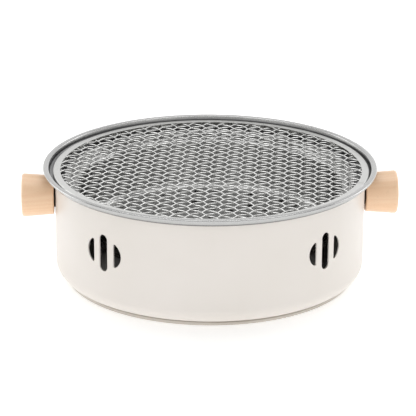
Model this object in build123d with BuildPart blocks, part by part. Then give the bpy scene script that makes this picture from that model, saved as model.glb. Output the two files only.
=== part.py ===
from build123d import *
from math import cos, radians, sin, sqrt
import os

# Portable tabletop charcoal grill. Millimetres, +Z up, handles along X.
# The origin is the centre of the ring that the grill stands on, at table level.

# ---------------------------------------------------------------- driving dimensions
RIM_DIAMETER = 300.0        # over the stainless flange
TOTAL_HEIGHT = 103.0        # table to the top of the flange
SPAN = 340.0                # over both knobs

# foot ring
FOOT_RADIUS = 130.4
FOOT_WIDTH = 20.0
FOOT_HEIGHT = 3.0

# painted pot
SHELL_RADIUS = 139.5
SHELL_WALL = 1.2
SHELL_FILLET = 13.5

# stainless top rim, a sheet with two steps: the grate's pocket and the bowl's ledge
RIM_SHEET = 0.8
RIM_BEND = 1.0
FLANGE_LIP = 1.4
POCKET_RADIUS = 145.0       # free radius of the pocket
POCKET_DEPTH = 6.5
POCKET_BEND = 2.5           # where the pocket's wall turns into its floor
THROAT_RADIUS = 136.6       # free radius below the pocket
LEDGE_DEPTH = 5.6           # from the pocket's floor to the bowl's ledge
LEDGE_RADIUS = 127.0        # free radius inside the ledge

# charcoal bowl
BOWL_SHEET = 1.0
BOWL_RIM_RADIUS = 131.0
BOWL_BEAD_RADIUS = 1.3
BOWL_SEAT_RADIUS = 125.0    # where the flat rim turns down into the step
BOWL_STEP_DEPTH = 5.0
BOWL_MOUTH_RADIUS = 118.5   # top of the steep wall
BOWL_FLOOR_RADIUS = 113.8   # foot of the steep wall
BOWL_DEPTH = 49.5           # from the flat rim to the floor
BOWL_FLOOR_FILLET = 5.0
BOWL_STEP_FILLET = 2.5
BOWL_BEND = 1.2
BOWL_HOLE_RADIUS = 3.0
BOWL_HOLE_START = 84.5      # direction of the first hole of each ring
BOWL_HOLE_RINGS = ((98.5, 36), (69.5, 24), (48.0, 18), (26.0, 9))

# grate
WIRE_DIAMETER = 1.2
WIRE_PITCH = 9.525          # three eighths of an inch
HOOP_RADIUS = 142.0
HOOP_WIDTH = 6.5
HOOP_SHEET = 0.4
HOOP_SEAM = 0.6
HOOP_SEAM_ANGLE = -19.5
HOOP_BEND = 0.9
GRATE_SHIFT = 1.0           # the loose grate lies this far to the right of the pocket's centre
MESH_TURN = 39.5            # direction of the first family of wires, from +X
MESH_PHASES = (3.1, 1.7)    # how far each family misses the grate's centre
WIRE_END_GAP = 1.0          # between a wire's end and the bend of the hoop
OUTER_WIRE_MARGIN = 3.2     # no wire lies nearer than this to the circle of the wires' ends

# ash tray
TRAY_RADIUS = 112.0
TRAY_FLOOR_RADIUS = 104.0
TRAY_SHEET = 0.8
TRAY_HEIGHT = 17.0
TRAY_BEAD_RADIUS = 1.4
TRAY_FILLET = 4.0

# air slots, in groups of three with a bar between each two
VENT_SLOT_HEIGHT = 33.6     # of the middle slot, which has round ends
VENT_SLOT_WIDTH = 9.0
VENT_BAR = 6.7
VENT_LOBE_RADIUS = 12.3     # round side of the outer slots
VENT_LOBE_CENTRE = 7.1      # its centre, from the middle of the group
VENT_CORNER = 1.6
VENT_LEVEL = 56.8
VENT_AZIMUTH = 43.5         # from the front and the back, either side

# knobs and their fittings
KNOB_LEVEL = 75.0
KNOB_INNER_RADIUS = 17.5
KNOB_OUTER_RADIUS = 19.6
KNOB_EDGE = 2.2
KNOB_CHAMFER = 0.8
KNOB_DOME = 1.0
GASKET_RADIUS = 11.0
GASKET_GAP = 1.0
SCREW_RADIUS = 2.5
SCREW_LENGTH = 17.0
SCREW_HEAD_RADIUS = 4.6
SCREW_HEAD_HEIGHT = 3.0
SCREW_SLOT = 1.2
SCREW_PLAY = 0.25           # of each screw in the sheet that it passes
SCREW_CROWN = 1.0           # rounding of the head's edge
INSERT_RADIUS = 4.5
INSERT_LENGTH = 14.0
WASHER_RADIUS = 6.0
WASHER_THICKNESS = 1.0
LOCK_WASHER_RADIUS = 4.4
LOCK_WASHER_THICKNESS = 1.3

# fittings of the foot ring
FOOT_EDGE = 0.7
FOOT_SCREW_COUNT = 4
FOOT_SCREW_AZIMUTH = 45.0
FOOT_SCREW_CIRCLE = 120.4
FOOT_SCREW_RADIUS = 2.0
FOOT_SCREW_LENGTH = 8.6
FOOT_HEAD_RADIUS = 3.8
FOOT_HEAD_RECESS = 0.3      # of the head below the ring's lower face
FOOT_HEAD_ANGLE = 90.0      # of the countersink
FOOT_WASHER_RADIUS = 4.2
FOOT_WASHER_THICKNESS = 0.8
FOOT_NUT_RADIUS = 3.5
FOOT_NUT_THICKNESS = 3.0

# ---------------------------------------------------------------- worked-out levels
RIM_RADIUS = RIM_DIAMETER / 2
POCKET_FLOOR = TOTAL_HEIGHT - POCKET_DEPTH
LEDGE_LEVEL = POCKET_FLOOR - LEDGE_DEPTH
SHELL_TOP = POCKET_FLOOR - RIM_SHEET
SHELL_INNER = SHELL_RADIUS - SHELL_WALL
SHELL_FLOOR = FOOT_HEIGHT + SHELL_WALL
BOWL_RIM_LEVEL = LEDGE_LEVEL + BOWL_SHEET
BOWL_FLOOR_LEVEL = BOWL_RIM_LEVEL - BOWL_DEPTH
HOOP_HEIGHT = 2 * WIRE_DIAMETER + 2 * HOOP_SHEET
MESH_LEVEL = POCKET_FLOOR + HOOP_HEIGHT / 2
MESH_RADIUS = HOOP_RADIUS - HOOP_SHEET - WIRE_END_GAP
KNOB_START = SHELL_RADIUS + GASKET_GAP
KNOB_END = SPAN / 2
WASHER_SEAT = sqrt(SHELL_INNER**2 - WASHER_RADIUS**2)
LOCK_WASHER_SEAT = WASHER_SEAT - WASHER_THICKNESS
SCREW_SEAT = LOCK_WASHER_SEAT - LOCK_WASHER_THICKNESS

os.makedirs("parts", exist_ok=True)


def save(part, name):
    part.label = name
    export_step(part, f"parts/{name}.step")


def sheet_outline(points, bend, sheet, side=Side.LEFT):
    """Outline of a bent sheet, from points along its upper side that run towards the middle."""
    with BuildLine() as outline:
        upper = FilletPolyline(*points, radius=bend)
        offset(upper, amount=sheet, side=side)
    return outline.edges()


# ---------------------------------------------------------------- painted pot
with BuildPart() as outer_shell:
    with BuildSketch(Plane.XY.offset(FOOT_HEIGHT)):
        Circle(SHELL_RADIUS)
    extrude(amount=SHELL_TOP - FOOT_HEIGHT)
    fillet(outer_shell.faces().sort_by(Axis.Z)[0].edges(), radius=SHELL_FILLET)
    offset(amount=-SHELL_WALL, openings=outer_shell.faces().sort_by(Axis.Z)[-1])

    # each group is a round-ended slot with a D-shaped slot on each side
    for azimuth in (-90 - VENT_AZIMUTH, -90 + VENT_AZIMUTH, 90 - VENT_AZIMUTH, 90 + VENT_AZIMUTH):
        outward = Vector(cos(radians(azimuth)), sin(radians(azimuth)), 0)
        sideways = outward.cross(Vector(0, 0, 1))
        with BuildSketch(Plane(origin=(0, 0, VENT_LEVEL), x_dir=sideways, z_dir=outward)) as vent:
            with Locations((-VENT_LOBE_CENTRE, 0), (VENT_LOBE_CENTRE, 0)):
                Circle(VENT_LOBE_RADIUS)
            Rectangle(VENT_SLOT_WIDTH + 2 * VENT_BAR, 2 * VENT_LOBE_RADIUS, mode=Mode.SUBTRACT)
            fillet(vent.vertices(), radius=VENT_CORNER)
            SlotOverall(VENT_SLOT_HEIGHT, VENT_SLOT_WIDTH, rotation=90)
        extrude(amount=SHELL_RADIUS + SHELL_WALL, mode=Mode.SUBTRACT)

    # holes for the knobs' screws and for the foot ring's screws
    with BuildSketch(Plane.YZ):
        with Locations((0, KNOB_LEVEL)):
            Circle(SCREW_RADIUS + SCREW_PLAY)
    extrude(amount=SHELL_RADIUS + SHELL_WALL, both=True, mode=Mode.SUBTRACT)
    with BuildSketch(Plane.XY):
        with PolarLocations(FOOT_SCREW_CIRCLE, FOOT_SCREW_COUNT, start_angle=FOOT_SCREW_AZIMUTH):
            Circle(FOOT_SCREW_RADIUS + SCREW_PLAY)
    extrude(amount=SHELL_FLOOR + SHELL_WALL, mode=Mode.SUBTRACT)
save(outer_shell.part, "outer_shell")

# ---------------------------------------------------------------- foot ring and its fittings
with BuildPart() as foot_ring:
    with BuildSketch(Plane.XY):
        Circle(FOOT_RADIUS)
        Circle(FOOT_RADIUS - FOOT_WIDTH, mode=Mode.SUBTRACT)
    extrude(amount=FOOT_HEIGHT)
    fillet(foot_ring.edges().filter_by(GeomType.CIRCLE).group_by(SortBy.RADIUS)[-1], radius=FOOT_EDGE)
    with Locations(Location((0, 0, 0), (180, 0, 0))):
        with PolarLocations(FOOT_SCREW_CIRCLE, FOOT_SCREW_COUNT, start_angle=FOOT_SCREW_AZIMUTH):
            CounterSinkHole(FOOT_SCREW_RADIUS, FOOT_HEAD_RADIUS, FOOT_HEIGHT, FOOT_HEAD_ANGLE)
save(foot_ring.part, "foot_ring")

with BuildPart() as foot_screws:
    cone_height = FOOT_HEAD_RADIUS - FOOT_SCREW_RADIUS - FOOT_HEAD_RECESS
    with PolarLocations(FOOT_SCREW_CIRCLE, FOOT_SCREW_COUNT, start_angle=FOOT_SCREW_AZIMUTH):
        with Locations((0, 0, FOOT_HEAD_RECESS)):
            Cone(
                FOOT_HEAD_RADIUS - FOOT_HEAD_RECESS,
                FOOT_SCREW_RADIUS,
                cone_height,
                align=(Align.CENTER, Align.CENTER, Align.MIN),
            )
            Cylinder(FOOT_SCREW_RADIUS, FOOT_SCREW_LENGTH, align=(Align.CENTER, Align.CENTER, Align.MIN))
            Box(
                FOOT_SCREW_RADIUS * 2,
                SCREW_SLOT / 2,
                cone_height,
                align=(Align.CENTER, Align.CENTER, Align.CENTER),
                mode=Mode.SUBTRACT,
            )
save(foot_screws.part, "foot_screws")

with BuildPart() as foot_washers:
    with BuildSketch(Plane.XY.offset(SHELL_FLOOR)):
        with PolarLocations(FOOT_SCREW_CIRCLE, FOOT_SCREW_COUNT, start_angle=FOOT_SCREW_AZIMUTH):
            Circle(FOOT_WASHER_RADIUS)
            Circle(FOOT_SCREW_RADIUS + SCREW_PLAY, mode=Mode.SUBTRACT)
    extrude(amount=FOOT_WASHER_THICKNESS)
save(foot_washers.part, "foot_washers")

with BuildPart() as foot_nuts:
    with BuildSketch(Plane.XY.offset(SHELL_FLOOR + FOOT_WASHER_THICKNESS)):
        with PolarLocations(FOOT_SCREW_CIRCLE, FOOT_SCREW_COUNT, start_angle=FOOT_SCREW_AZIMUTH):
            RegularPolygon(FOOT_NUT_RADIUS, side_count=6, major_radius=False)
            Circle(FOOT_SCREW_RADIUS, mode=Mode.SUBTRACT)
    extrude(amount=FOOT_NUT_THICKNESS)
save(foot_nuts.part, "foot_nuts")

# ---------------------------------------------------------------- ash tray
with BuildPart() as ash_tray:
    tray_top = SHELL_FLOOR + TRAY_HEIGHT
    tray_points = (
        (TRAY_RADIUS - TRAY_BEAD_RADIUS, tray_top - TRAY_BEAD_RADIUS),
        (TRAY_FLOOR_RADIUS, SHELL_FLOOR + TRAY_SHEET),
        (0, SHELL_FLOOR + TRAY_SHEET),
    )
    with BuildSketch(Plane.XZ):
        make_face(sheet_outline(tray_points, TRAY_FILLET, TRAY_SHEET))
        with Locations(tray_points[0]):
            Circle(TRAY_BEAD_RADIUS)
    revolve(axis=Axis.Z)
save(ash_tray.part, "ash_tray")

# ---------------------------------------------------------------- stainless rim
with BuildPart() as fire_rim:
    rim_points = (
        (RIM_RADIUS, TOTAL_HEIGHT - FLANGE_LIP),
        (RIM_RADIUS, TOTAL_HEIGHT),
        (POCKET_RADIUS, TOTAL_HEIGHT),
        (POCKET_RADIUS, POCKET_FLOOR),
        (THROAT_RADIUS, POCKET_FLOOR),
        (THROAT_RADIUS, LEDGE_LEVEL),
        (LEDGE_RADIUS, LEDGE_LEVEL),
    )
    rim_bends = (RIM_BEND, RIM_BEND, POCKET_BEND, RIM_BEND, RIM_BEND)
    with BuildSketch(Plane.XZ):
        make_face(sheet_outline(rim_points, rim_bends, RIM_SHEET))
    revolve(axis=Axis.Z)
save(fire_rim.part, "fire_rim")

# ---------------------------------------------------------------- charcoal bowl
with BuildPart() as charcoal_bowl:
    bead_centre = (BOWL_RIM_RADIUS - BOWL_BEAD_RADIUS, LEDGE_LEVEL + BOWL_BEAD_RADIUS)
    bowl_step = BOWL_RIM_LEVEL - BOWL_STEP_DEPTH
    bowl_points = (
        (bead_centre[0], BOWL_RIM_LEVEL),
        (BOWL_SEAT_RADIUS, BOWL_RIM_LEVEL),
        (BOWL_SEAT_RADIUS, bowl_step),
        (BOWL_MOUTH_RADIUS, bowl_step),
        (BOWL_FLOOR_RADIUS, BOWL_FLOOR_LEVEL),
        (0, BOWL_FLOOR_LEVEL),
    )
    bowl_bends = (BOWL_BEND, BOWL_BEND, BOWL_STEP_FILLET, BOWL_FLOOR_FILLET)
    with BuildSketch(Plane.XZ):
        make_face(sheet_outline(bowl_points, bowl_bends, BOWL_SHEET))
        with Locations(bead_centre):
            Circle(BOWL_BEAD_RADIUS)
    revolve(axis=Axis.Z)
    with BuildSketch(Plane.XY.offset(BOWL_FLOOR_LEVEL)):
        Circle(BOWL_HOLE_RADIUS)
        for ring_radius, hole_count in BOWL_HOLE_RINGS:
            with PolarLocations(ring_radius, hole_count, start_angle=BOWL_HOLE_START):
                Circle(BOWL_HOLE_RADIUS)
    extrude(amount=2 * BOWL_SHEET, both=True, mode=Mode.SUBTRACT)
save(charcoal_bowl.part, "charcoal_bowl")

# ---------------------------------------------------------------- grate
with BuildPart() as grate_hoop:
    hoop_inner = HOOP_RADIUS - HOOP_WIDTH
    hoop_points = (
        (hoop_inner, POCKET_FLOOR + HOOP_HEIGHT),
        (HOOP_RADIUS, POCKET_FLOOR + HOOP_HEIGHT),
        (HOOP_RADIUS, POCKET_FLOOR),
        (hoop_inner, POCKET_FLOOR),
    )
    with BuildSketch(Plane.XZ):
        make_face(sheet_outline(hoop_points, HOOP_BEND, HOOP_SHEET, side=Side.RIGHT))
    revolve(axis=Axis.Z)
    with BuildSketch(Plane.XY.offset(POCKET_FLOOR)):
        with PolarLocations(HOOP_RADIUS, 1, start_angle=HOOP_SEAM_ANGLE):
            Rectangle(4 * HOOP_WIDTH, HOOP_SEAM)
    extrude(amount=HOOP_HEIGHT, mode=Mode.SUBTRACT)
save(grate_hoop.part.moved(Location((GRATE_SHIFT, 0, 0))), "grate_hoop")


def wire_family(turn, phase, level):
    """Parallel wires at one level, cut to the circle inside the hoop."""
    direction = Vector(cos(radians(turn)), sin(radians(turn)), 0)
    sideways = direction.cross(Vector(0, 0, 1))
    wires_each_side = int(MESH_RADIUS / WIRE_PITCH) + 1
    with BuildPart() as family:
        with BuildSketch(Plane(origin=(0, 0, level), x_dir=sideways, z_dir=direction)):
            for wire in range(-wires_each_side, wires_each_side + 1):
                place = phase + wire * WIRE_PITCH
                if abs(place) < MESH_RADIUS - OUTER_WIRE_MARGIN:
                    with Locations((place, 0)):
                        Circle(WIRE_DIAMETER / 2)
        extrude(amount=HOOP_RADIUS, both=True)
        with BuildSketch(Plane.XY.offset(level)):
            Circle(MESH_RADIUS)
        extrude(amount=WIRE_DIAMETER, both=True, mode=Mode.INTERSECT)
    return family.part.moved(Location((GRATE_SHIFT, 0, 0)))


wires_a = wire_family(MESH_TURN, MESH_PHASES[0], MESH_LEVEL + WIRE_DIAMETER / 2)
save(wires_a, "grate_wires_a")
wires_b = wire_family(MESH_TURN + 90, MESH_PHASES[1], MESH_LEVEL - WIRE_DIAMETER / 2)
save(wires_b, "grate_wires_b")


# ---------------------------------------------------------------- knobs and their fittings
def knob_plane(side):
    """Upright plane through a knob's axis, with its x pointing out of the pot."""
    return Plane(origin=(0, 0, KNOB_LEVEL), x_dir=(side, 0, 0), z_dir=(0, -side, 0))


def knob_section(side, distance):
    """Plane across a knob's axis at a distance from the middle of the pot."""
    return Plane(origin=(side * distance, 0, KNOB_LEVEL), x_dir=(0, side, 0), z_dir=(side, 0, 0))


knob_axis = Axis((0, 0, KNOB_LEVEL), (1, 0, 0))

for side, name in ((-1, "left"), (1, "right")):
    with BuildPart() as handle:
        with BuildSketch(knob_plane(side)) as outline:
            with BuildLine():
                Polyline((KNOB_END, 0), (KNOB_START, 0), (KNOB_START, KNOB_INNER_RADIUS))
                Line((KNOB_START, KNOB_INNER_RADIUS), (KNOB_END - KNOB_DOME, KNOB_OUTER_RADIUS))
                edge = (KNOB_END - KNOB_DOME, KNOB_OUTER_RADIUS)
                TangentArc((KNOB_END, 0), edge, tangent=(0, 1), tangent_from_first=True)
            make_face()
            rim_corner = outline.sketch_local.vertices().sort_by(Axis.Y)[-1]
            fillet(rim_corner, radius=KNOB_EDGE)
            foot_corner = outline.sketch_local.vertices().group_by(Axis.X)[0].sort_by(Axis.Y)[-1]
            chamfer(foot_corner, length=KNOB_CHAMFER)
        revolve(axis=knob_axis)
        with BuildSketch(knob_section(side, KNOB_START)):
            Circle(INSERT_RADIUS)
        extrude(amount=INSERT_LENGTH, mode=Mode.SUBTRACT)
    save(handle.part, f"handle_{name}")

    with BuildPart() as insert:
        with BuildSketch(knob_section(side, KNOB_START)):
            Circle(INSERT_RADIUS)
            Circle(SCREW_RADIUS, mode=Mode.SUBTRACT)
        extrude(amount=INSERT_LENGTH)
    save(insert.part, f"handle_insert_{name}")

    with BuildPart() as gasket:
        with BuildSketch(knob_section(side, KNOB_START)):
            Circle(GASKET_RADIUS)
            Circle(SCREW_RADIUS + SCREW_PLAY, mode=Mode.SUBTRACT)
        extrude(amount=-2 * GASKET_GAP)
        with BuildSketch(Plane.XY):
            Circle(SHELL_RADIUS)
        extrude(amount=TOTAL_HEIGHT, mode=Mode.SUBTRACT)
    save(gasket.part, f"handle_gasket_{name}")

    with BuildPart() as washer:
        with BuildSketch(knob_section(side, WASHER_SEAT)):
            Circle(WASHER_RADIUS)
            Circle(SCREW_RADIUS + SCREW_PLAY, mode=Mode.SUBTRACT)
        extrude(amount=-WASHER_THICKNESS)
    save(washer.part, f"handle_washer_{name}")

    with BuildPart() as lock_washer:
        with BuildSketch(knob_section(side, LOCK_WASHER_SEAT)):
            Circle(LOCK_WASHER_RADIUS)
            Circle(SCREW_RADIUS + SCREW_PLAY, mode=Mode.SUBTRACT)
            with Locations((0, LOCK_WASHER_RADIUS)):
                Rectangle(SCREW_SLOT, LOCK_WASHER_RADIUS, mode=Mode.SUBTRACT)
        extrude(amount=-LOCK_WASHER_THICKNESS)
    save(lock_washer.part, f"handle_lock_washer_{name}")

    with BuildPart() as screw:
        with BuildSketch(knob_section(side, SCREW_SEAT)):
            Circle(SCREW_HEAD_RADIUS)
        extrude(amount=-SCREW_HEAD_HEIGHT)
        head_edges = screw.edges().filter_by(GeomType.CIRCLE).sort_by(knob_axis)
        fillet(head_edges[0 if side > 0 else -1], radius=SCREW_CROWN)
        with BuildSketch(knob_section(side, SCREW_SEAT - SCREW_HEAD_HEIGHT)):
            Rectangle(2 * SCREW_HEAD_RADIUS, SCREW_SLOT)
        extrude(amount=SCREW_HEAD_HEIGHT / 2, mode=Mode.SUBTRACT)
        with BuildSketch(knob_section(side, SCREW_SEAT)):
            Circle(SCREW_RADIUS)
        extrude(amount=SCREW_LENGTH)
    save(screw.part, f"handle_screw_{name}")
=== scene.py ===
# %% [markdown]
# # A portable tabletop grill
#
# The grill is a painted steel pot with air slots, a spun stainless rim and charcoal bowl, a woven wire
# grate and two turned beech knobs. The measured model comes from CAD and stays where it is. This script
# gives every surface its finish. It also makes again the pieces that CAD keeps plain: it spins the rim as
# a fine sheet, weaves the grate, chamfers the nuts and springs the lock washers.

# %% Load the frame
import math

import bmesh
import bpy
from mathutils import Matrix, Vector


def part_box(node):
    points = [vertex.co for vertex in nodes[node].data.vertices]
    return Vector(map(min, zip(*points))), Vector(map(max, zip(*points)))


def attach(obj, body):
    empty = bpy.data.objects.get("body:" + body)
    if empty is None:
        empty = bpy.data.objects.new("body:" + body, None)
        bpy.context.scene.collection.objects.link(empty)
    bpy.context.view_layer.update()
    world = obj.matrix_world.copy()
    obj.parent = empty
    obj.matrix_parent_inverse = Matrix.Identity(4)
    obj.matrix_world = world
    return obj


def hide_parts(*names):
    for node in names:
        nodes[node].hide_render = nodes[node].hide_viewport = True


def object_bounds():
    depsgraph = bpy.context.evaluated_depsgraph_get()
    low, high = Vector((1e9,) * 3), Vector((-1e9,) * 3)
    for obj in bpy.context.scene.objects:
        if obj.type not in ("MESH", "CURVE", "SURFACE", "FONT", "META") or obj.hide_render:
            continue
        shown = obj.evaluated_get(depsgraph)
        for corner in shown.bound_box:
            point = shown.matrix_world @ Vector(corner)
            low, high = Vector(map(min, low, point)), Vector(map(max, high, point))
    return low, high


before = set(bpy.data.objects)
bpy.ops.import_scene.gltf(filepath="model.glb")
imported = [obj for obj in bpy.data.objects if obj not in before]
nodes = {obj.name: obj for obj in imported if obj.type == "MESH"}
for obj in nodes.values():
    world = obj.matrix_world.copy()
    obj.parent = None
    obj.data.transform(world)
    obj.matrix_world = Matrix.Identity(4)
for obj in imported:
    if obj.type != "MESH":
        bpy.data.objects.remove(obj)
cad_low, cad_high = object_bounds()
MM = 0.001
print("grill", [round((h - l) / MM, 1) for l, h in zip(cad_low, cad_high)], "mm")

# %% [markdown]
# ## The camera
#
# A small object looks true from far away through a long lens, because its near and far sides are then
# almost the same size. The camera stands two metres off, 20 degrees above the table and a little to the
# left of the grill's own front. The lens shift, a share of the frame's width, sets the middle of the
# frame a touch above the middle of the grill.

# %% Camera
CAMERA_DISTANCE = 2.0
CAMERA_AZIMUTH = math.radians(-2.5)
CAMERA_ELEVATION = math.radians(20.0)
CAMERA_ROLL = math.radians(0.32)
SENSOR_WIDTH = 36.0
FOCAL_LENGTH = 190.7
SHIFT_X = -0.0041
SHIFT_Y = 0.0231

camera_data = bpy.data.cameras.new("product_camera")
camera_data.sensor_width = SENSOR_WIDTH
camera_data.lens = FOCAL_LENGTH
camera_data.shift_x = SHIFT_X
camera_data.shift_y = SHIFT_Y
camera = bpy.data.objects.new("product_camera", camera_data)
bpy.context.scene.collection.objects.link(camera)
bpy.context.scene.camera = camera
bpy.context.scene.view_settings.view_transform = "Standard"
print("lens", round(camera_data.lens, 1), "mm on a", SENSOR_WIDTH, "mm sensor")

# %% Aim the camera
grill_middle = Vector((0, 0, (cad_low.z + cad_high.z) / 2))
towards_camera = Vector(
    (
        math.sin(CAMERA_AZIMUTH) * math.cos(CAMERA_ELEVATION),
        -math.cos(CAMERA_AZIMUTH) * math.cos(CAMERA_ELEVATION),
        math.sin(CAMERA_ELEVATION),
    )
)
aim = (-towards_camera).to_track_quat("-Z", "Y")
roll = Matrix.Rotation(CAMERA_ROLL, 3, "Z").to_quaternion()
camera.location = grill_middle + towards_camera * CAMERA_DISTANCE
camera.rotation_mode = "QUATERNION"
camera.rotation_quaternion = aim @ roll
print("camera at", [round(c, 3) for c in camera.location])

# %% [markdown]
# ## Helpers for finishes
#
# Colours are written as sRGB hex, as a paint chart gives them, and turned to linear once. One function
# adds a node with its settings and links, and another starts a material with its shader, so that each
# finish below is only its own recipe. Patterns read Object coordinates turned into millimetres, so the
# scale of a pattern is one over its real size. Almost all of a noise lies between 0.3 and 0.7, and that
# spread is what a map range stretches.

# %% Colours and nodes
def linear(hex_colour):
    """An sRGB hex colour as linear red, green, blue and alpha."""
    channels = [int(hex_colour[i : i + 2], 16) / 255 for i in (1, 3, 5)]
    return tuple(c / 12.92 if c <= 0.04045 else ((c + 0.055) / 1.055) ** 2.4 for c in channels) + (1.0,)


def connect(tree, node, inputs):
    """Sets a node's inputs: each is a value, or the output of another node, which is linked."""
    for socket, value in inputs.items():
        if isinstance(value, bpy.types.NodeSocket):
            tree.links.new(value, node.inputs[socket])
        else:
            node.inputs[socket].default_value = value


def add(tree, kind, inputs=None, **settings):
    """Adds a node with its own settings and its inputs."""
    node = tree.nodes.new(kind)
    for name, value in settings.items():
        setattr(node, name, value)
    connect(tree, node, inputs or {})
    return node


print("linear mid grey", round(linear("#808080")[0], 3))

# %% Starting a material
# A Mix node has one set of sockets for each kind of value, so they are reached by number.
FACTOR = 0
FIRST_NUMBER, SECOND_NUMBER, MIXED_NUMBER = 2, 3, 0
FIRST_COLOUR, SECOND_COLOUR, MIXED_COLOUR = 6, 7, 2
NOISE_SPREAD = {"From Min": 0.3, "From Max": 0.7}


def millimetres(tree):
    """Object coordinates in millimetres."""
    place = add(tree, "ShaderNodeTexCoord").outputs["Object"]
    return add(tree, "ShaderNodeMapping", {"Vector": place, "Scale": (1 / MM,) * 3}).outputs["Vector"]


def start_finish(name, **shader_values):
    """A new material: itself, its tree, its shader, and Object coordinates in millimetres."""
    material = bpy.data.materials.new(name)
    material.use_nodes = True
    tree = material.node_tree
    shader = tree.nodes["Principled BSDF"]
    connect(tree, shader, {socket.replace("_", " "): value for socket, value in shader_values.items()})
    return material, tree, shader, millimetres(tree)


print("noise runs from", NOISE_SPREAD["From Min"], "to", NOISE_SPREAD["From Max"])

# %% [markdown]
# ## Stove enamel on the pot
#
# The pot is deep-drawn steel, sprayed off-white and stoved. Sprayed enamel is satin, not a mirror: wide
# soft highlights, with a faint orange peel a few millimetres across that only shows where light grazes
# it. The colour drifts by a hair over a hand's width, and the gloss over a fingertip's.

# %% Stove enamel
DRIFT_MM = 70.0
GLOSS_MM = 9.0
ORANGE_PEEL_MM = 2.6
PEEL_DEPTH = 0.012 * MM


def stove_enamel(name, colour, shade):
    material, tree, shader, mm = start_finish(name, IOR=1.5, Coat_Weight=0.25, Coat_Roughness=0.22)
    drift = add(tree, "ShaderNodeTexNoise", {"Vector": mm, "Scale": 1 / DRIFT_MM}).outputs["Fac"]
    share = add(tree, "ShaderNodeMapRange", {**NOISE_SPREAD, "Value": drift}).outputs["Result"]
    colours = {FACTOR: share, FIRST_COLOUR: linear(colour), SECOND_COLOUR: linear(shade)}
    paint = add(tree, "ShaderNodeMix", colours, data_type="RGBA").outputs[MIXED_COLOUR]
    gloss = add(tree, "ShaderNodeTexNoise", {"Vector": mm, "Scale": 1 / GLOSS_MM}).outputs["Fac"]
    satin = {**NOISE_SPREAD, "Value": gloss, "To Min": 0.36, "To Max": 0.44}
    rough = add(tree, "ShaderNodeMapRange", satin).outputs["Result"]
    fine = {"Vector": mm, "Scale": 1 / ORANGE_PEEL_MM, "Detail": 1.0}
    peel = add(tree, "ShaderNodeTexNoise", fine).outputs["Fac"]
    relief = add(tree, "ShaderNodeBump", {"Height": peel, "Distance": PEEL_DEPTH}).outputs["Normal"]
    connect(tree, shader, {"Base Color": paint, "Roughness": rough, "Normal": relief})
    return material


pot_enamel = stove_enamel("stove_enamel_off_white", "#EFE9E3", "#ECE6DF")
# The foot ring wears the pot's own off-white enamel; this darker copy is painted shade, for the shade low
# down by the table.
foot_enamel_with_painted_shade = stove_enamel("stove_enamel_foot_painted_shade", "#CFC8BF", "#C9C2B8")
print("enamels", pot_enamel.name, foot_enamel_with_painted_shade.name)

# %% [markdown]
# ## Spun stainless steel
#
# The rim, the bowl and the ash tray are discs pressed over a former while they spin, and then brushed on
# the lathe. The brush leaves rings round the axis. Every ring keeps one distance from the axis and one
# height, so the noise is read at those two numbers alone and gives closed rings on floors and walls
# alike. Real rings are about a tenth of a millimetre apart, too fine to show, so they are drawn about 1
# to 3 mm apart. The anisotropic gloss follows the tangent round the axis, turned by a quarter, and draws
# each highlight out across the rings, as on any disc that was brushed on a lathe.

# %% Rings round the axis
def distance_and_height(tree, mm):
    """A point's distance from the axis and its height, in millimetres."""
    split = add(tree, "ShaderNodeSeparateXYZ", {"Vector": mm}).outputs
    flat = add(tree, "ShaderNodeCombineXYZ", {"X": split["X"], "Y": split["Y"]}).outputs["Vector"]
    length = add(tree, "ShaderNodeVectorMath", {"Vector": flat}, operation="LENGTH").outputs["Value"]
    return length, split["Z"]


RING_DETAIL = {"Detail": 3.0, "Roughness": 0.6}
RING_DEPTH = 0.0008 * MM
PATCH_MM = 35.0

print("rings", RING_DEPTH / MM, "mm deep")


# %% Spun stainless steel
def spun_steel(name, colour, shade, smooth, rough, ring_mm):
    brushed = {"Metallic": 1.0, "Anisotropic": 0.75, "Anisotropic_Rotation": 0.25}
    material, tree, shader, mm = start_finish(name, **brushed)
    tangent = add(tree, "ShaderNodeTangent", direction_type="RADIAL", axis="Z").outputs["Tangent"]
    distance, height = distance_and_height(tree, mm)
    place = add(tree, "ShaderNodeCombineXYZ", {"X": distance, "Z": height}).outputs["Vector"]
    spacing = {**RING_DETAIL, "Vector": place, "Scale": 1 / ring_mm}
    rings = add(tree, "ShaderNodeTexNoise", spacing).outputs["Fac"]
    patches = add(tree, "ShaderNodeTexNoise", {"Vector": mm, "Scale": 1 / PATCH_MM}).outputs["Fac"]
    share = add(tree, "ShaderNodeMapRange", {**NOISE_SPREAD, "Value": patches}).outputs["Result"]
    colours = {FACTOR: share, FIRST_COLOUR: linear(colour), SECOND_COLOUR: linear(shade)}
    metal = add(tree, "ShaderNodeMix", colours, data_type="RGBA").outputs[MIXED_COLOUR]
    brush = {**NOISE_SPREAD, "Value": rings, "To Min": smooth, "To Max": rough}
    roughness = add(tree, "ShaderNodeMapRange", brush).outputs["Result"]
    relief = add(tree, "ShaderNodeBump", {"Height": rings, "Distance": RING_DEPTH}).outputs["Normal"]
    connect(tree, shader, {"Base Color": metal, "Roughness": roughness})
    connect(tree, shader, {"Normal": relief, "Tangent": tangent})
    return material


rim_steel = spun_steel("spun_stainless_rim", "#C6C6C5", "#C2C2C1", 0.24, 0.27, 3.0)
bowl_steel = spun_steel("spun_stainless_bowl", "#B9B9B8", "#B0B0AF", 0.24, 0.30, 1.4)
tray_steel = spun_steel("spun_stainless_tray", "#A9A8A4", "#9D9C98", 0.34, 0.46, 0.9)
print("steels", rim_steel.name, bowl_steel.name, tray_steel.name)

# %% [markdown]
# ## Bright plated wire, zinc, brass and rubber
#
# The grate is steel wire with a bright plating. The screws, nuts and washers are zinc plated, a little
# blue and dull. The inserts are turned brass, and the spacers behind the knobs are matt silicone rubber.
# One recipe serves all the metals, because they differ only in colour and in how rough they are.

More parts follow.
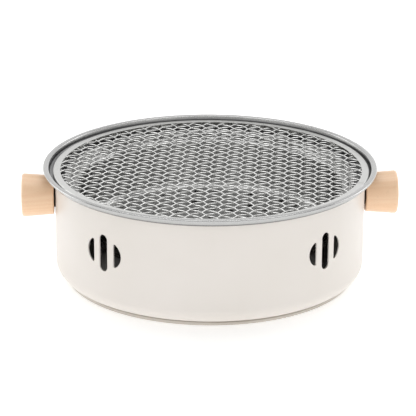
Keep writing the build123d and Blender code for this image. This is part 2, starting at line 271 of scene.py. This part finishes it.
# %% Plated metals
PLATING_GRAIN_MM = 1.5
PLATING_DEPTH = 0.01 * MM


def plated_metal(name, colour, smooth, rough):
    material, tree, shader, mm = start_finish(name, Metallic=1.0, Base_Color=linear(colour))
    grain = add(tree, "ShaderNodeTexNoise", {"Vector": mm, "Scale": 1 / PLATING_GRAIN_MM}).outputs["Fac"]
    gloss = {**NOISE_SPREAD, "Value": grain, "To Min": smooth, "To Max": rough}
    roughness = add(tree, "ShaderNodeMapRange", gloss).outputs["Result"]
    relief = add(tree, "ShaderNodeBump", {"Height": grain, "Distance": PLATING_DEPTH}).outputs["Normal"]
    connect(tree, shader, {"Roughness": roughness, "Normal": relief})
    return material


grate_plating = plated_metal("bright_plated_wire", "#F0F0EE", 0.14, 0.22)
hoop_plating = plated_metal("bright_plated_strip", "#E6E6E4", 0.34, 0.42)
zinc_plating = plated_metal("zinc_plating", "#B7BABD", 0.28, 0.42)
turned_brass = plated_metal("turned_brass", "#C9A659", 0.22, 0.34)
print("metals", grate_plating.name, hoop_plating.name, zinc_plating.name, turned_brass.name)

# %% Silicone rubber
RUBBER_SPECK_MM = 0.6
RUBBER_DEPTH = 0.03 * MM


def silicone_rubber(name, colour, shade):
    material, tree, shader, mm = start_finish(name, IOR=1.41, Roughness=0.75)
    specks = add(tree, "ShaderNodeTexNoise", {"Vector": mm, "Scale": 1 / RUBBER_SPECK_MM}).outputs["Fac"]
    colours = {FACTOR: specks, FIRST_COLOUR: linear(colour), SECOND_COLOUR: linear(shade)}
    rubber = add(tree, "ShaderNodeMix", colours, data_type="RGBA").outputs[MIXED_COLOUR]
    relief = add(tree, "ShaderNodeBump", {"Height": specks, "Distance": RUBBER_DEPTH}).outputs["Normal"]
    connect(tree, shader, {"Base Color": rubber, "Normal": relief})
    return material


gasket_rubber = silicone_rubber("silicone_rubber", "#35312E", "#2A2725")
print("rubber", gasket_rubber.name)

# %% [markdown]
# ## Beech
#
# The knobs are turned from beech: pale, faintly pink, with straight grain along the axis and many short
# dark flecks about a millimetre long, which are the wood's rays cut end on. Growth rings are cylinders
# round the tree's heart, far off to one side, so one pattern gives stripes along the knob's side and
# arcs across its end. A slow noise makes the rings wander. Both patterns are drawn out along the grain,
# which runs along X. The oil on the wood is a thin clear coat.

# %% Sizes of the grain
RING_SCALE = 0.09
WANDER_BLOB_MM = 14.0
WANDER_MM = 2.5
FLECK_MM = 0.9
FLECK_DEPTH = 0.02 * MM
FLECK_THRESHOLD = {"From Min": 0.62, "From Max": 0.72, "To Max": 0.3}
WANDER_STRETCH = (0.06, 1.0, 1.0)
RING_STRETCH = (0.03, 1.0, 1.0)
FLECK_STRETCH = (0.55, 2.6, 2.6)
print("flecks", FLECK_MM, "mm, rings wander by", WANDER_MM, "mm")


# %% Grain, flecks and oil
def growth_rings(tree, mm, wander, heart_mm):
    """A wave of 0 to 1 in cylinders round the tree's heart."""
    heart = {"Vector": mm, "Location": heart_mm, "Scale": RING_STRETCH}
    centred = add(tree, "ShaderNodeMapping", heart).outputs["Vector"]
    drift = {**NOISE_SPREAD, "Value": wander, "To Min": -WANDER_MM, "To Max": WANDER_MM}
    offset = add(tree, "ShaderNodeMapRange", drift).outputs["Result"]
    shifted = add(tree, "ShaderNodeVectorMath", {0: centred, 1: offset}, operation="ADD").outputs["Vector"]
    wave = {"Vector": shifted, "Scale": RING_SCALE, "Distortion": 0.6, "Detail": 2.0, "Detail Scale": 0.6}
    return add(tree, "ShaderNodeTexWave", wave, wave_type="RINGS", rings_direction="X").outputs["Fac"]


def beech(name, heart_mm):
    material, tree, shader, mm = start_finish(name, IOR=1.48, Coat_Weight=0.6, Coat_Roughness=0.28)
    slow = add(tree, "ShaderNodeMapping", {"Vector": mm, "Scale": WANDER_STRETCH}).outputs["Vector"]
    wander = add(tree, "ShaderNodeTexNoise", {"Vector": slow, "Scale": 1 / WANDER_BLOB_MM}).outputs["Fac"]
    rings = growth_rings(tree, mm, wander, heart_mm)
    colours = {FACTOR: rings, FIRST_COLOUR: linear("#FAD5B1"), SECOND_COLOUR: linear("#F7CFA9")}
    grain = add(tree, "ShaderNodeMix", colours, data_type="RGBA").outputs[MIXED_COLOUR]
    short = add(tree, "ShaderNodeMapping", {"Vector": mm, "Scale": FLECK_STRETCH}).outputs["Vector"]
    specks = {"Vector": short, "Scale": 1 / FLECK_MM, "Detail": 1.0}
    flecks = add(tree, "ShaderNodeTexNoise", specks).outputs["Fac"]
    mask = add(tree, "ShaderNodeMapRange", {**FLECK_THRESHOLD, "Value": flecks}).outputs["Result"]
    colours = {FACTOR: mask, FIRST_COLOUR: grain, SECOND_COLOUR: linear("#CFA077")}
    flecked = add(tree, "ShaderNodeMix", colours, data_type="RGBA").outputs[MIXED_COLOUR]
    oiled = {**NOISE_SPREAD, "Value": wander, "To Min": 0.42, "To Max": 0.55}
    roughness = add(tree, "ShaderNodeMapRange", oiled).outputs["Result"]
    relief = add(tree, "ShaderNodeBump", {"Height": flecks, "Distance": FLECK_DEPTH}).outputs["Normal"]
    connect(tree, shader, {"Base Color": flecked, "Roughness": roughness, "Normal": relief})
    return material


beech_left = beech("oiled_beech_left", (0.0, 55.0, -120.0))
beech_right = beech("oiled_beech_right", (0.0, -70.0, -115.0))
print("woods", beech_left.name, beech_right.name)

# %% [markdown]
# ## Finishes on the measured model
#
# A CAD node keeps its mesh and gets its finish in the material slots of its object. The nodes that new
# pieces will replace get theirs too, so that none is left bare.

# %% Finish the measured pieces
NODE_FINISHES = {
    "outer_shell": pot_enamel,
    "foot_ring": foot_enamel_with_painted_shade,
    "foot_screws": zinc_plating,
    "foot_washers": zinc_plating,
    "foot_nuts": zinc_plating,
    "ash_tray": tray_steel,
    "fire_rim": rim_steel,
    "charcoal_bowl": bowl_steel,
    "grate_hoop": hoop_plating,
    "handle_left": beech_left,
    "handle_right": beech_right,
}
for side in ("left", "right"):
    NODE_FINISHES[f"handle_insert_{side}"] = turned_brass
    NODE_FINISHES[f"handle_screw_{side}"] = zinc_plating
    NODE_FINISHES[f"handle_washer_{side}"] = zinc_plating
    NODE_FINISHES[f"handle_lock_washer_{side}"] = zinc_plating
    NODE_FINISHES[f"handle_gasket_{side}"] = gasket_rubber
for node_name, finish in NODE_FINISHES.items():
    for material_slot in nodes[node_name].material_slots:
        material_slot.material = finish
print(len(NODE_FINISHES), "measured pieces finished")

# %% [markdown]
# ## Putting a new piece in place
#
# A piece made here stands for one CAD node. It rides on that node's body, takes the finish it is given,
# and hides the node it replaces. Its object stays at the origin, because its place is in its mesh.

# %% Place a piece
def place_piece(mesh, name, finish, body, replaced):
    """Turns a bmesh into a piece that stands for a CAD node."""
    data = bpy.data.meshes.new(name)
    mesh.to_mesh(data)
    mesh.free()
    data.materials.append(finish)
    piece = bpy.data.objects.new(name, data)
    bpy.context.scene.collection.objects.link(piece)
    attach(piece, body)
    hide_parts(replaced)
    return piece


WHOLE_TURN = 2 * math.pi
QUARTER_TURN = WHOLE_TURN / 4
Z_AXIS = {"cent": (0, 0, 0), "axis": (0, 0, 1)}

# %% [markdown]
# ## The spun rim
#
# The rim is one disc of stainless sheet, spun into a flange, a pocket for the grate and a ledge for the
# bowl. Its upper side is drawn as a line of corners, each corner is rounded to its bend, the line is spun
# round the axis in fine steps, and the skin is then given the sheet's thickness. Fine steps matter here:
# the bright edges of a polished rim show every flat.

# %% Section of the rim
RIM_SHEET = 0.8 * MM
SMALL_BEND = 1.0 * MM
POCKET_BEND = 2.5 * MM
LIP = 1.4 * MM
POCKET_DEPTH = 6.5 * MM
LEDGE_DEPTH = 5.6 * MM
POCKET_RADIUS = 145.0 * MM
THROAT_RADIUS = 136.6 * MM
LEDGE_RADIUS = 127.0 * MM

rim_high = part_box("fire_rim")[1]
pocket_level = rim_high.z - POCKET_DEPTH
ledge_level = pocket_level - LEDGE_DEPTH
rim_corners = [
    (rim_high.x, rim_high.z - LIP, 0),
    (rim_high.x, rim_high.z, SMALL_BEND),
    (POCKET_RADIUS, rim_high.z, SMALL_BEND),
    (POCKET_RADIUS, pocket_level, POCKET_BEND),
    (THROAT_RADIUS, pocket_level, SMALL_BEND),
    (THROAT_RADIUS, ledge_level, SMALL_BEND),
    (LEDGE_RADIUS, ledge_level, 0),
]
print("rim section", [(round(radius / MM, 1), round(level / MM, 1)) for radius, level, bend in rim_corners])

# %% Spinning a sheet
BEND_SEGMENTS = 6
RIM_STEPS = 256
MERGE_GAP = 0.001 * MM


def spun_sheet(corners, thickness, steps):
    """A sheet whose upper side runs through (radius, level, bend) corners, spun round Z."""
    mesh = bmesh.new()
    line = [mesh.verts.new((radius, 0, level)) for radius, level, bend in corners]
    for pair in zip(line, line[1:]):
        mesh.edges.new(pair)
    bevel = {"affect": "VERTICES", "segments": BEND_SEGMENTS, "profile": 0.5, "material": -1}
    for bend in {bend for radius, level, bend in corners if bend}:
        bent = [vert for vert, corner in zip(line, corners) if corner[2] == bend]
        bmesh.ops.bevel(mesh, geom=bent, offset=bend, **bevel)
    outline = mesh.verts[:] + mesh.edges[:]
    bmesh.ops.spin(mesh, geom=outline, angle=WHOLE_TURN, steps=steps, use_merge=True, **Z_AXIS)
    bmesh.ops.remove_doubles(mesh, verts=mesh.verts, dist=MERGE_GAP)
    bmesh.ops.recalc_face_normals(mesh, faces=mesh.faces)
    flange = max(mesh.faces, key=lambda face: face.calc_center_median().z)
    if flange.normal.z < 0:
        bmesh.ops.reverse_faces(mesh, faces=mesh.faces)
    bmesh.ops.solidify(mesh, geom=mesh.faces[:], thickness=thickness)
    return mesh


rim_mesh = spun_sheet(rim_corners, RIM_SHEET, RIM_STEPS)
print("rim sheet", len(rim_mesh.faces), "faces,", round(RIM_SHEET / MM, 1), "mm thick")

# %% Smooth shading and its place
SHARP_ANGLE = math.radians(35)

spun_rim = place_piece(rim_mesh, "spun_rim", rim_steel, "rim", "fire_rim")
spun_rim.data.shade_smooth()
spun_rim.data.set_sharp_from_angle(angle=SHARP_ANGLE)
rim_levels = [vert.co.z / MM for vert in spun_rim.data.vertices]
print("rim from", round(min(rim_levels), 2), "to", round(max(rim_levels), 2), "mm")

# %% [markdown]
# ## Painted shade on the wall of the pocket
#
# The steep wall of the pocket lies in shade under the grate and the flange, so its steel is painted darker
# here as shade, in its base colour only. The finish knows that wall by its place: nearer the axis than the
# wall's outer skin, and just under the top of the grill. The painted shade gets darker over the first few
# millimetres down.

# %% Paint shade on the pocket wall
POCKET_SHADE_AMOUNT = 0.85
POCKET_EDGE_MM = 1.0
POCKET_FADE_MM = 3.0
WALL_MARGIN_MM = 0.1
FADE_START_MM = 0.6


def paint_pocket_shade(material, radius_mm, level_mm):
    """Darkens the steel nearer the axis than radius_mm and below level_mm, as painted shade."""
    tree = material.node_tree
    shader = tree.nodes["Principled BSDF"]
    unshaded = shader.inputs["Base Color"].links[0].from_socket
    distance, height = distance_and_height(tree, millimetres(tree))
    edge = {"Value": distance, "From Min": radius_mm, "From Max": radius_mm - POCKET_EDGE_MM}
    inside = add(tree, "ShaderNodeMapRange", edge).outputs["Result"]
    fade = {"Value": height, "From Min": level_mm, "From Max": level_mm - POCKET_FADE_MM}
    below = add(tree, "ShaderNodeMapRange", {**fade, "To Max": POCKET_SHADE_AMOUNT}).outputs["Result"]
    both = add(tree, "ShaderNodeMath", {0: inside, 1: below}, operation="MULTIPLY").outputs["Value"]
    # The wall's steel fades to this dark grey: painted shade, not a finish of its own.
    colours = {FACTOR: both, FIRST_COLOUR: unshaded, SECOND_COLOUR: linear("#5E5E60")}
    painted_shade = add(tree, "ShaderNodeMix", colours, data_type="RGBA").outputs[MIXED_COLOUR]
    connect(tree, shader, {"Base Color": painted_shade})


wall_mm = (POCKET_RADIUS + RIM_SHEET) / MM + WALL_MARGIN_MM
paint_pocket_shade(rim_steel, wall_mm, cad_high.z / MM - FADE_START_MM)
print("pocket dulled inside", round(wall_mm, 1), "mm")

# %% [markdown]
# ## The woven grate
#
# Crimped wires are pressed into waves first and then woven, each crossing over one wire and under the
# next. A straight tube cut across many times is bent into such a wave by lifting every ring of it: up
# where it passes over, down where it passes under. The next wire of the family starts half a wave later,
# and the other family takes the opposite side of each crossing. The mesh is the standard three-eighths
# of an inch, 9.525 mm, and its wires lie at a slant to the knobs.

# %% Sizes of the weave
PITCH = 9.525 * MM
EDGE_GAP = PITCH / 3
WIRE_SIDES = 8
CUTS_PER_CROSSING = 6
MESH_TURN = math.radians(39.5)
OFFSET_A = -3.1 * MM
OFFSET_B = 1.7 * MM

hoop_low, hoop_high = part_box("grate_hoop")
upper_low, upper_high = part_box("grate_wires_a")
lower_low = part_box("grate_wires_b")[0]
wire_radius = (upper_high.z - upper_low.z) / 2
weave_level = (upper_high.z + lower_low.z) / 2
weave_radius = (upper_high.x - upper_low.x) / 2
grate_centre_x = (hoop_low.x + hoop_high.x) / 2
print("wire", round(2 * wire_radius / MM, 2), "mm, level", round(weave_level / MM, 2), "mm")


# %% One wire
def straight_wire(mesh, turn, across, reach):
    """A tube across from the grate's centre, along the direction turn, cut into rings."""
    lay_down = Matrix.Rotation(QUARTER_TURN, 4, "Y")
    made = bmesh.ops.create_cone(
        mesh,
        cap_ends=True,
        segments=WIRE_SIDES,
        radius1=wire_radius,
        radius2=wire_radius,
        depth=2 * reach,
        matrix=Matrix.Rotation(turn, 4, "Z") @ Matrix.Translation((0, across, 0)) @ lay_down,
    )
    lengthwise = {e for v in made["verts"] for e in v.link_edges if e.calc_length() > reach}
    cuts = int(2 * reach / PITCH * CUTS_PER_CROSSING)
    bmesh.ops.subdivide_edges(mesh, edges=list(lengthwise), cuts=cuts)


# %% One family of wires
def weave(turn, offset, other_offset, side):
    """All wires of one family, crimped. Wire 0 passes over crossing 0 if side is 1, and under it if -1."""
    along = Vector((math.cos(turn), math.sin(turn), 0))
    normal = Vector((-math.sin(turn), math.cos(turn), 0))
    mesh = bmesh.new()
    wires_each_side = int(weave_radius / PITCH) + 1
    for wire in range(-wires_each_side, wires_each_side + 1):
        across = offset + wire * PITCH
        if abs(across) <= weave_radius - EDGE_GAP:
            straight_wire(mesh, turn, across, math.sqrt(weave_radius**2 - across**2))
    for vert in mesh.verts:
        wire = round((vert.co.dot(normal) - offset) / PITCH)
        travel = (vert.co.dot(along) - other_offset) / PITCH
        vert.co.z += side * wire_radius * math.cos(math.pi * (travel + wire))
    bmesh.ops.translate(mesh, verts=mesh.verts, vec=(grate_centre_x, 0, weave_level))
    bmesh.ops.recalc_face_normals(mesh, faces=mesh.faces)
    return mesh


wires_a = weave(MESH_TURN, OFFSET_A, OFFSET_B, 1)
wires_b = weave(MESH_TURN + QUARTER_TURN, -OFFSET_B, OFFSET_A, -1)
woven_a = place_piece(wires_a, "woven_wires_a", grate_plating, "grate", "grate_wires_a")
woven_b = place_piece(wires_b, "woven_wires_b", grate_plating, "grate", "grate_wires_b")
woven_a.data.shade_smooth()
woven_b.data.shade_smooth()
print("weave", len(woven_a.data.polygons) + len(woven_b.data.polygons), "faces")

# %% [markdown]
# ## Nuts and lock washers
#
# A nut is cut from hexagon bar, drilled, and chamfered on the lathe, so a shallow cone cuts its corners
# down. Here it is first turned as a plain ring, then its outside is pushed out to the hexagon and lowered
# by that cone. In the middle of each flat the cone only touches the hexagon, so the corners that meet
# there are merged. A lock washer is one turn of square wire, cut through and sprung apart, so its section
# is swept a little less than once round while it climbs. Both are spins, one of an outline and one of a
# face.

# %% Turning a section
def turned_ring(mesh, section, steps):
    """Turns an outline of (radius, height) points once round Z, and closes it on itself."""
    corners = [mesh.verts.new((radius, 0, height)) for radius, height in section]
    edges = [mesh.edges.new(pair) for pair in zip(corners, corners[1:] + corners[:1])]
    bmesh.ops.spin(mesh, geom=corners + edges, angle=WHOLE_TURN, steps=steps, use_merge=True, **Z_AXIS)


def split_ring(mesh, section, turn, climb, steps):
    """Sweeps a face through part of a turn round Z while it climbs, and keeps both cut ends."""
    corners = [mesh.verts.new((radius, 0, height)) for radius, height in section]
    face = mesh.faces.new(corners)
    rise = (0, 0, climb / steps)
    bmesh.ops.spin(mesh, geom=[face], dvec=rise, angle=turn, steps=steps, **Z_AXIS)


# %% Sizes of the nuts
NUT_BORE = 2.0 * MM
NUT_FLAT = 3.5 * MM
NUT_SIDES = 6
NUT_STEPS = 48
CHAMFER_SLOPE = math.tan(math.radians(30))
FLOOR_WASHER_RADIUS = 4.2 * MM
FLOOR_SCREWS = 4
FIRST_SCREW = math.radians(45)

nut_low, nut_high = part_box("foot_nuts")
nut_height = nut_high.z - nut_low.z
nut_corner = NUT_FLAT / math.cos(math.pi / NUT_SIDES)
corner_drop = (nut_corner - NUT_FLAT) * CHAMFER_SLOPE
screw_circle = (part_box("foot_washers")[1].x - FLOOR_WASHER_RADIUS) / math.cos(FIRST_SCREW)
print("nuts on a circle of", round(screw_circle / MM, 1), "mm")

# %% One chamfered nut
nut_mesh = bmesh.new()
lower_half = [(NUT_BORE, 0), (NUT_FLAT, 0), (nut_corner, corner_drop)]
upper_half = [(radius, nut_height - height) for radius, height in reversed(lower_half)]
turned_ring(nut_mesh, lower_half + upper_half, NUT_STEPS)
sector = WHOLE_TURN / NUT_SIDES
for vert in nut_mesh.verts:
    if vert.co.xy.length < (NUT_FLAT + nut_corner) / 2:
        continue
    angle = math.atan2(vert.co.y, vert.co.x)
    outline = NUT_FLAT / math.cos(angle % sector - sector / 2)
    drop = (outline - NUT_FLAT) * CHAMFER_SLOPE
    vert.co.xy *= outline / vert.co.xy.length
    vert.co.z = drop if vert.co.z < nut_height / 2 else nut_height - drop
bmesh.ops.remove_doubles(nut_mesh, verts=nut_mesh.verts, dist=MERGE_GAP)
print("nut", len(nut_mesh.faces), "faces,", round(nut_height / MM, 1), "mm high")


# %% Nuts under the pot's floor screws
def set_out(mesh, places):
    """Copies the shape in the mesh to each place and removes the first one."""
    pattern = mesh.verts[:] + mesh.edges[:] + mesh.faces[:]
    pattern_verts = mesh.verts[:]
    for place in places:
        copied = bmesh.ops.duplicate(mesh, geom=pattern)["geom"]
        moved = [part for part in copied if isinstance(part, bmesh.types.BMVert)]
        bmesh.ops.transform(mesh, matrix=place, verts=moved)
    bmesh.ops.delete(mesh, geom=pattern_verts, context="VERTS")


step_out = Matrix.Translation((screw_circle, 0, nut_low.z))
screw_turns = [FIRST_SCREW + WHOLE_TURN / FLOOR_SCREWS * screw for screw in range(FLOOR_SCREWS)]
set_out(nut_mesh, [Matrix.Rotation(turn, 4, "Z") @ step_out for turn in screw_turns])
bmesh.ops.recalc_face_normals(nut_mesh, faces=nut_mesh.faces)
nuts = place_piece(nut_mesh, "chamfered_nuts", zinc_plating, "pot", "foot_nuts")
print(nuts.name, len(nuts.data.polygons), "faces")

# %% Split lock washers behind the knob screws
LOCK_BORE = 2.75 * MM
LOCK_CLIMB = 0.3 * MM
LOCK_TURN = math.radians(345)
LOCK_STEPS = 40

stand_up = Matrix.Rotation(QUARTER_TURN, 4, "Y") @ Matrix.Rotation(2 * QUARTER_TURN, 4, "Z")
for side in ("left", "right"):
    replaced = f"handle_lock_washer_{side}"
    lock_low, lock_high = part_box(replaced)
    thickness = lock_high.x - lock_low.x - LOCK_CLIMB
    outer = (lock_high.y - lock_low.y) / 2
    section = [(LOCK_BORE, 0), (outer, 0), (outer, thickness), (LOCK_BORE, thickness)]
    lock_mesh = bmesh.new()
    split_ring(lock_mesh, section, LOCK_TURN, LOCK_CLIMB, LOCK_STEPS)
    knob_level = (lock_low.z + lock_high.z) / 2
    place = Matrix.Translation((lock_low.x, 0, knob_level)) @ stand_up
    bmesh.ops.transform(lock_mesh, matrix=place, verts=lock_mesh.verts)
    bmesh.ops.recalc_face_normals(lock_mesh, faces=lock_mesh.faces)
    lock = place_piece(lock_mesh, f"lock_washer_{side}", zinc_plating, "pot", replaced)
    print(lock.name, len(lock.data.polygons), "faces")

# %% [markdown]
# ## Table and light
#
# The grill stands on a plain pale table that glows a little, so that it stays white round the grill. The
# light is soft: one wide lamp overhead, and one at each side a little behind, which leave the front of
# the pot a little darker than its flanks. The sky is white to the camera. To everything else it is bright
# low down, where it lights the walls of the pot, and dim overhead, so that the steel keeps its contrast.

# %% Table
FLOOR_HALF = 3.0
TABLE_GLOW = 0.4

floor_mesh = bmesh.new()
bmesh.ops.create_grid(floor_mesh, x_segments=1, y_segments=1, size=FLOOR_HALF)
floor_data = bpy.data.meshes.new("table")
floor_mesh.to_mesh(floor_data)
floor_mesh.free()
floor = bpy.data.objects.new("table", floor_data)
bpy.context.scene.collection.objects.link(floor)
glow = {"Emission_Strength": TABLE_GLOW, "Emission_Color": linear("#FFFFFF")}
pale_table = start_finish("pale_table", Roughness=0.6, Base_Color=linear("#F4F4F3"), **glow)[0]
floor_data.materials.append(pale_table)
print("table", 2 * FLOOR_HALF, "m wide")


# %% Lamps
def softbox(name, place, width, height, watts):
    """A soft rectangular lamp that points at the grill."""
    light = bpy.data.lights.new(name, "AREA")
    light.shape = "RECTANGLE"
    light.size = width
    light.size_y = height
    light.energy = watts
    lamp = bpy.data.objects.new(name, light)
    bpy.context.scene.collection.objects.link(lamp)
    lamp.location = place
    lamp.rotation_mode = "QUATERNION"
    lamp.rotation_quaternion = (grill_middle - Vector(place)).to_track_quat("-Z", "Y")
    print(name, watts, "W")


softbox("overhead_softbox", (0.0, 0.2, 1.2), 1.3, 1.0, 7.5)
softbox("left_softbox", (-0.95, 0.75, 0.85), 0.7, 0.6, 2.6)
softbox("right_softbox", (0.95, 0.75, 0.85), 0.7, 0.6, 2.6)

# %% Sky
# The fade runs between two heights of a direction, where 0 is level and 1 is straight up.
SKY_LOW = 1.08
SKY_HIGH = 0.3
SKY_SEEN = 1.0
FADE_HEIGHTS = {"From Min": 0.18, "From Max": 0.7}

sky = bpy.data.worlds.new("studio")
bpy.context.scene.world = sky
sky.use_nodes = True
tree = sky.node_tree
direction = add(tree, "ShaderNodeTexCoord").outputs["Generated"]
height = add(tree, "ShaderNodeSeparateXYZ", {"Vector": direction}).outputs["Z"]
fade = {**FADE_HEIGHTS, "Value": height, "To Min": SKY_LOW, "To Max": SKY_HIGH}
lit = add(tree, "ShaderNodeMapRange", fade, interpolation_type="SMOOTHSTEP").outputs["Result"]
seen = add(tree, "ShaderNodeLightPath").outputs["Is Camera Ray"]
numbers = {FACTOR: seen, FIRST_NUMBER: lit, SECOND_NUMBER: SKY_SEEN}
strength = add(tree, "ShaderNodeMix", numbers, data_type="FLOAT").outputs[MIXED_NUMBER]
connect(tree, tree.nodes["Background"], {"Strength": strength, "Color": linear("#FFFFFF")})
print("sky", SKY_LOW, "low,", SKY_HIGH, "overhead")
